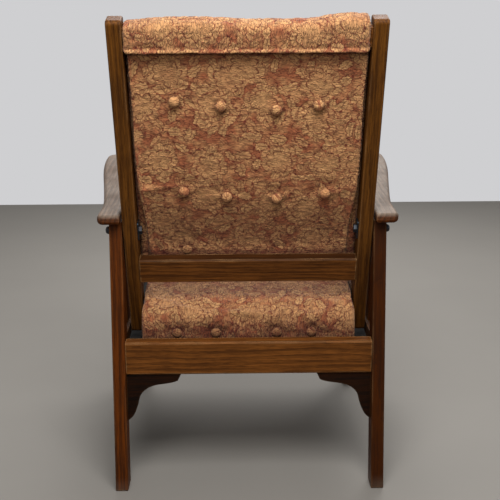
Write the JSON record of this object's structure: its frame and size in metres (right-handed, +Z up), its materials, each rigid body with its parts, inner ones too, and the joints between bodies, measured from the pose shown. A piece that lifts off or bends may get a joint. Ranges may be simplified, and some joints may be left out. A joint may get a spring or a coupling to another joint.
{
  "type": "reclining armchair",
  "caption": "Mission style oak armchair with raked rear legs, flared paddle arms, a buttoned back that reclines on pivot bolts and a padded seat that glides forward with it.",
  "frame": {"origin": "on the floor, under the middle of the chair's width and depth", "axes": "+Z up, the sitter faces -Y, +X is the sitter's left"},
  "size_m": [0.7462, 0.6714, 1.0221],
  "materials": {
    "oak": "aged satin varnish",
    "dark_oak": "dark stain, dull",
    "plain_oak": "bare, unfinished",
    "birch": "bare",
    "iron": "blackened",
    "steel": "dull",
    "cloth": "figured upholstery weave",
    "webbing": "jute"
  },
  "bodies": {
    "frame": {"rear_seat_rail": "oak", "front_seat_rail": "oak", "bracket_screws": "steel", "rear_leg_left": "oak", "rear_leg_right": "oak", "front_leg_left": "oak", "front_leg_right": "oak", "arm_left": "oak", "arm_right": "oak", "side_seat_rail_left": "oak", "side_seat_rail_right": "oak", "rear_bracket_left": "dark_oak", "rear_bracket_right": "dark_oak", "front_bracket_left": "dark_oak", "front_bracket_right": "dark_oak", "seat_runner_left": "plain_oak", "seat_runner_right": "plain_oak", "pivot_bolt_left": "iron", "pivot_bolt_right": "iron", "side_slat_left_1": "oak", "side_slat_right_1": "oak", "side_slat_left_2": "oak", "side_slat_right_2": "oak", "side_slat_left_3": "oak", "side_slat_right_3": "oak", "pivot_nuts": "iron", "pivot_washers": "iron"},
    "back": {"back_lower_rail": "oak", "back_top_rail": "oak", "back_top_roll": "cloth", "back_cushion": "cloth", "rear_buttons": "cloth", "front_buttons": "cloth", "back_stile_left": "oak", "back_stile_right": "oak", "pivot_plate_left": "iron", "pivot_plate_right": "iron", "foot_pin_left": "iron", "foot_pin_right": "iron", "pivot_plate_screws": "steel"},
    "seat": {"seat_front_bar": "plain_oak", "seat_rear_bar": "plain_oak", "seat_frame_dowels": "birch", "seat_webbing": "webbing", "seat_cross_webbing": "webbing", "seat_cushion": "cloth", "seat_buttons": "cloth", "seat_side_left": "plain_oak", "seat_side_right": "plain_oak", "slot_plate_left": "iron", "slot_plate_right": "iron", "slot_plate_screws": "steel"}
  },
  "joints": [
    {"name": "back_recline", "type": "hinge", "parent": "frame", "child": "back", "pos_m": [0, 0.19422, 0.5725], "axis": [-1, 0, 0], "range_deg": [0, 20]},
    {"name": "seat_glide", "type": "slide", "parent": "frame", "child": "seat", "axis": [0, -0.9974, 0.0715], "range_m": [0, 0.07475]}
  ],
  "couplings": [
    {"joint": "seat_glide", "follows": "back_recline", "m_per_rad": 0.21412}
  ]
}
